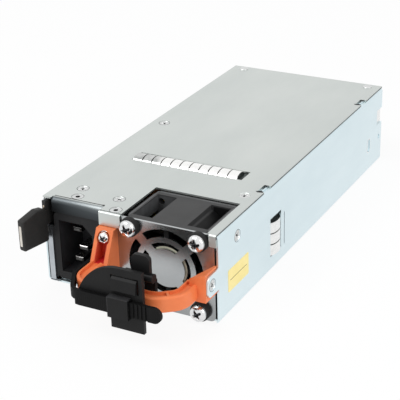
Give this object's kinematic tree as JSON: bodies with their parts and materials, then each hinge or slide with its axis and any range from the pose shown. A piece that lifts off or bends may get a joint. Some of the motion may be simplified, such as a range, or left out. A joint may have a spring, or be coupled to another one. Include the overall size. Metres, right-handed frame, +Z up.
{
  "type": "hot swap server power supply",
  "caption": "Long sheet-metal server power supply with a fan, an upright mains inlet, an orange bow handle, a cord clamp, a side latch and an edge connector at the rear.",
  "frame": {"origin": "middle of the front panel's lower edge: x = 0 at mid-width, y = 0 on the panel's outer face, z = 0 on the underside", "axes": "+X to the right seen from the front, +Y from the front panel into the case, +Z up"},
  "size_m": [0.0884, 0.2291, 0.0412],
  "materials": {
    "galvanised_steel": "satin zinc-coated sheet",
    "plated_screws": "bright plated",
    "spring_steel": "bright rolled",
    "black_plastic": "fine moulded grain",
    "orange_plastic": "fine moulded grain",
    "black_rubber": "dull",
    "plated_pins": "nickel plated",
    "brass_standoffs": "turned",
    "gold_contacts": "gold plated",
    "wire_sleeve": "smooth",
    "circuit_board": "solder mask",
    "clear_film": "clear film",
    "ferrite": "sintered",
    "wound_tape": "tape wrapped",
    "wound_copper": "enamelled wire",
    "can_sleeve": "shrunk sleeve",
    "yellow_case": "moulded",
    "bare_aluminium": "extruded",
    "copper_bar": "tinned copper",
    "fuse_body": "ceramic tube"
  },
  "bodies": {
    "case": {"ac_inlet": "black_plastic", "base_tray": "galvanised_steel", "board_screws": "plated_screws", "board_standoffs": "brass_standoffs", "boost_choke": "wound_copper", "bridge_rectifier": "black_plastic", "bulk_capacitors": "can_sleeve", "clamp_body": "black_plastic", "clamp_pin": "plated_screws", "clamp_strap": "black_plastic", "control_board": "circuit_board", "cover_rivets": "plated_screws", "cover_screws": "plated_screws", "edge_contacts": "gold_contacts", "fan_bearings": "brass_standoffs", "fan_driver_board": "circuit_board", "fan_frame": "black_plastic", "fan_grommets": "black_rubber", "fan_screws": "plated_screws", "fan_stator": "ferrite", "filter_chokes": "wound_copper", "front_panel": "galvanised_steel", "fuse": "fuse_body", "handle": "orange_plastic", "handle_flat_washer": "plated_screws", "handle_front_screw": "plated_screws", "handle_lock_washer": "plated_screws", "handle_nut": "plated_screws", "inlet_pins": "plated_pins", "inlet_wires": "wire_sleeve", "insulator_sheet": "clear_film", "latch_rivets": "plated_screws", "main_board": "circuit_board", "output_busbars": "copper_bar", "output_capacitors": "can_sleeve", "power_transistors": "black_plastic", "rear_panel": "galvanised_steel", "relay": "black_plastic", "secondary_heatsink": "bare_aluminium", "side_fingers": "spring_steel", "side_screws": "plated_screws", "standby_transformer": "wound_tape", "top_cover": "galvanised_steel", "top_fingers": "spring_steel", "transformer_core": "ferrite", "transformer_winding": "wound_tape", "x_capacitors": "yellow_case"},
    "fan_rotor": {"fan_impeller": "black_plastic", "fan_shaft": "plated_screws", "fan_magnet": "ferrite"},
    "latch": {"latch_arm": "spring_steel", "latch_grip": "black_plastic"},
    "clamp_lever": {"clamp_lever": "black_plastic"}
  },
  "joints": [
    {"name": "fan_spin", "type": "hinge", "parent": "case", "child": "fan_rotor", "pos_m": [0.0181, 0.015, 0.02], "axis": [0, 1, 0], "continuous": true},
    {"name": "latch_press", "type": "hinge", "parent": "case", "child": "latch", "pos_m": [-0.0405, 0.048, 0.032], "axis": [0, 0, 1], "range_deg": [0, 2], "stiffness_Nm_per_rad": 0.5},
    {"name": "clamp_tip", "type": "hinge", "parent": "case", "child": "clamp_lever", "pos_m": [0.02175, -0.024, 0.029], "axis": [1, 0, 0], "range_deg": [0, 15], "stiffness_Nm_per_rad": 0.02}
  ]
}
